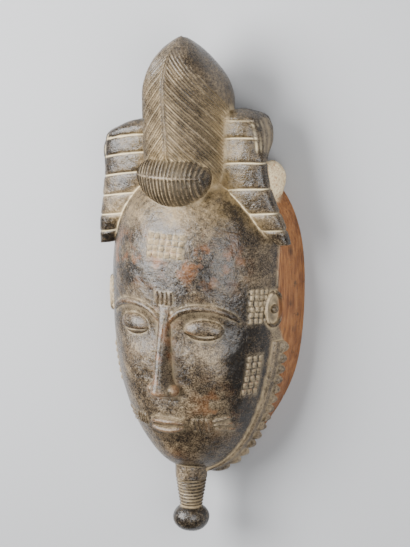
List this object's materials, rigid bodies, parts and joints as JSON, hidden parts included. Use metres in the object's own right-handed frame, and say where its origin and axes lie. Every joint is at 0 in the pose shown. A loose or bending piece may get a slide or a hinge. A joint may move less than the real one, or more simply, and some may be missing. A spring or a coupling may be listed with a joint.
{
  "type": "carved face mask",
  "caption": "Carved wooden face mask with a tall grooved crest, side tresses, toothed beard band, neck post with ball, and a hollow back on a flat rim.",
  "frame": {"origin": "under the middle of the whole mask, on the plane of its flat rim", "axes": "+Y from the neck ball to the crest tip, +Z out of the face, +X to the viewer's right"},
  "size_m": [0.1899, 0.45, 0.117],
  "materials": {
    "patinated_wood": "worn dark patina, satin"
  },
  "bodies": {
    "root": {"mask": "patinated_wood"}
  },
  "joints": []
}
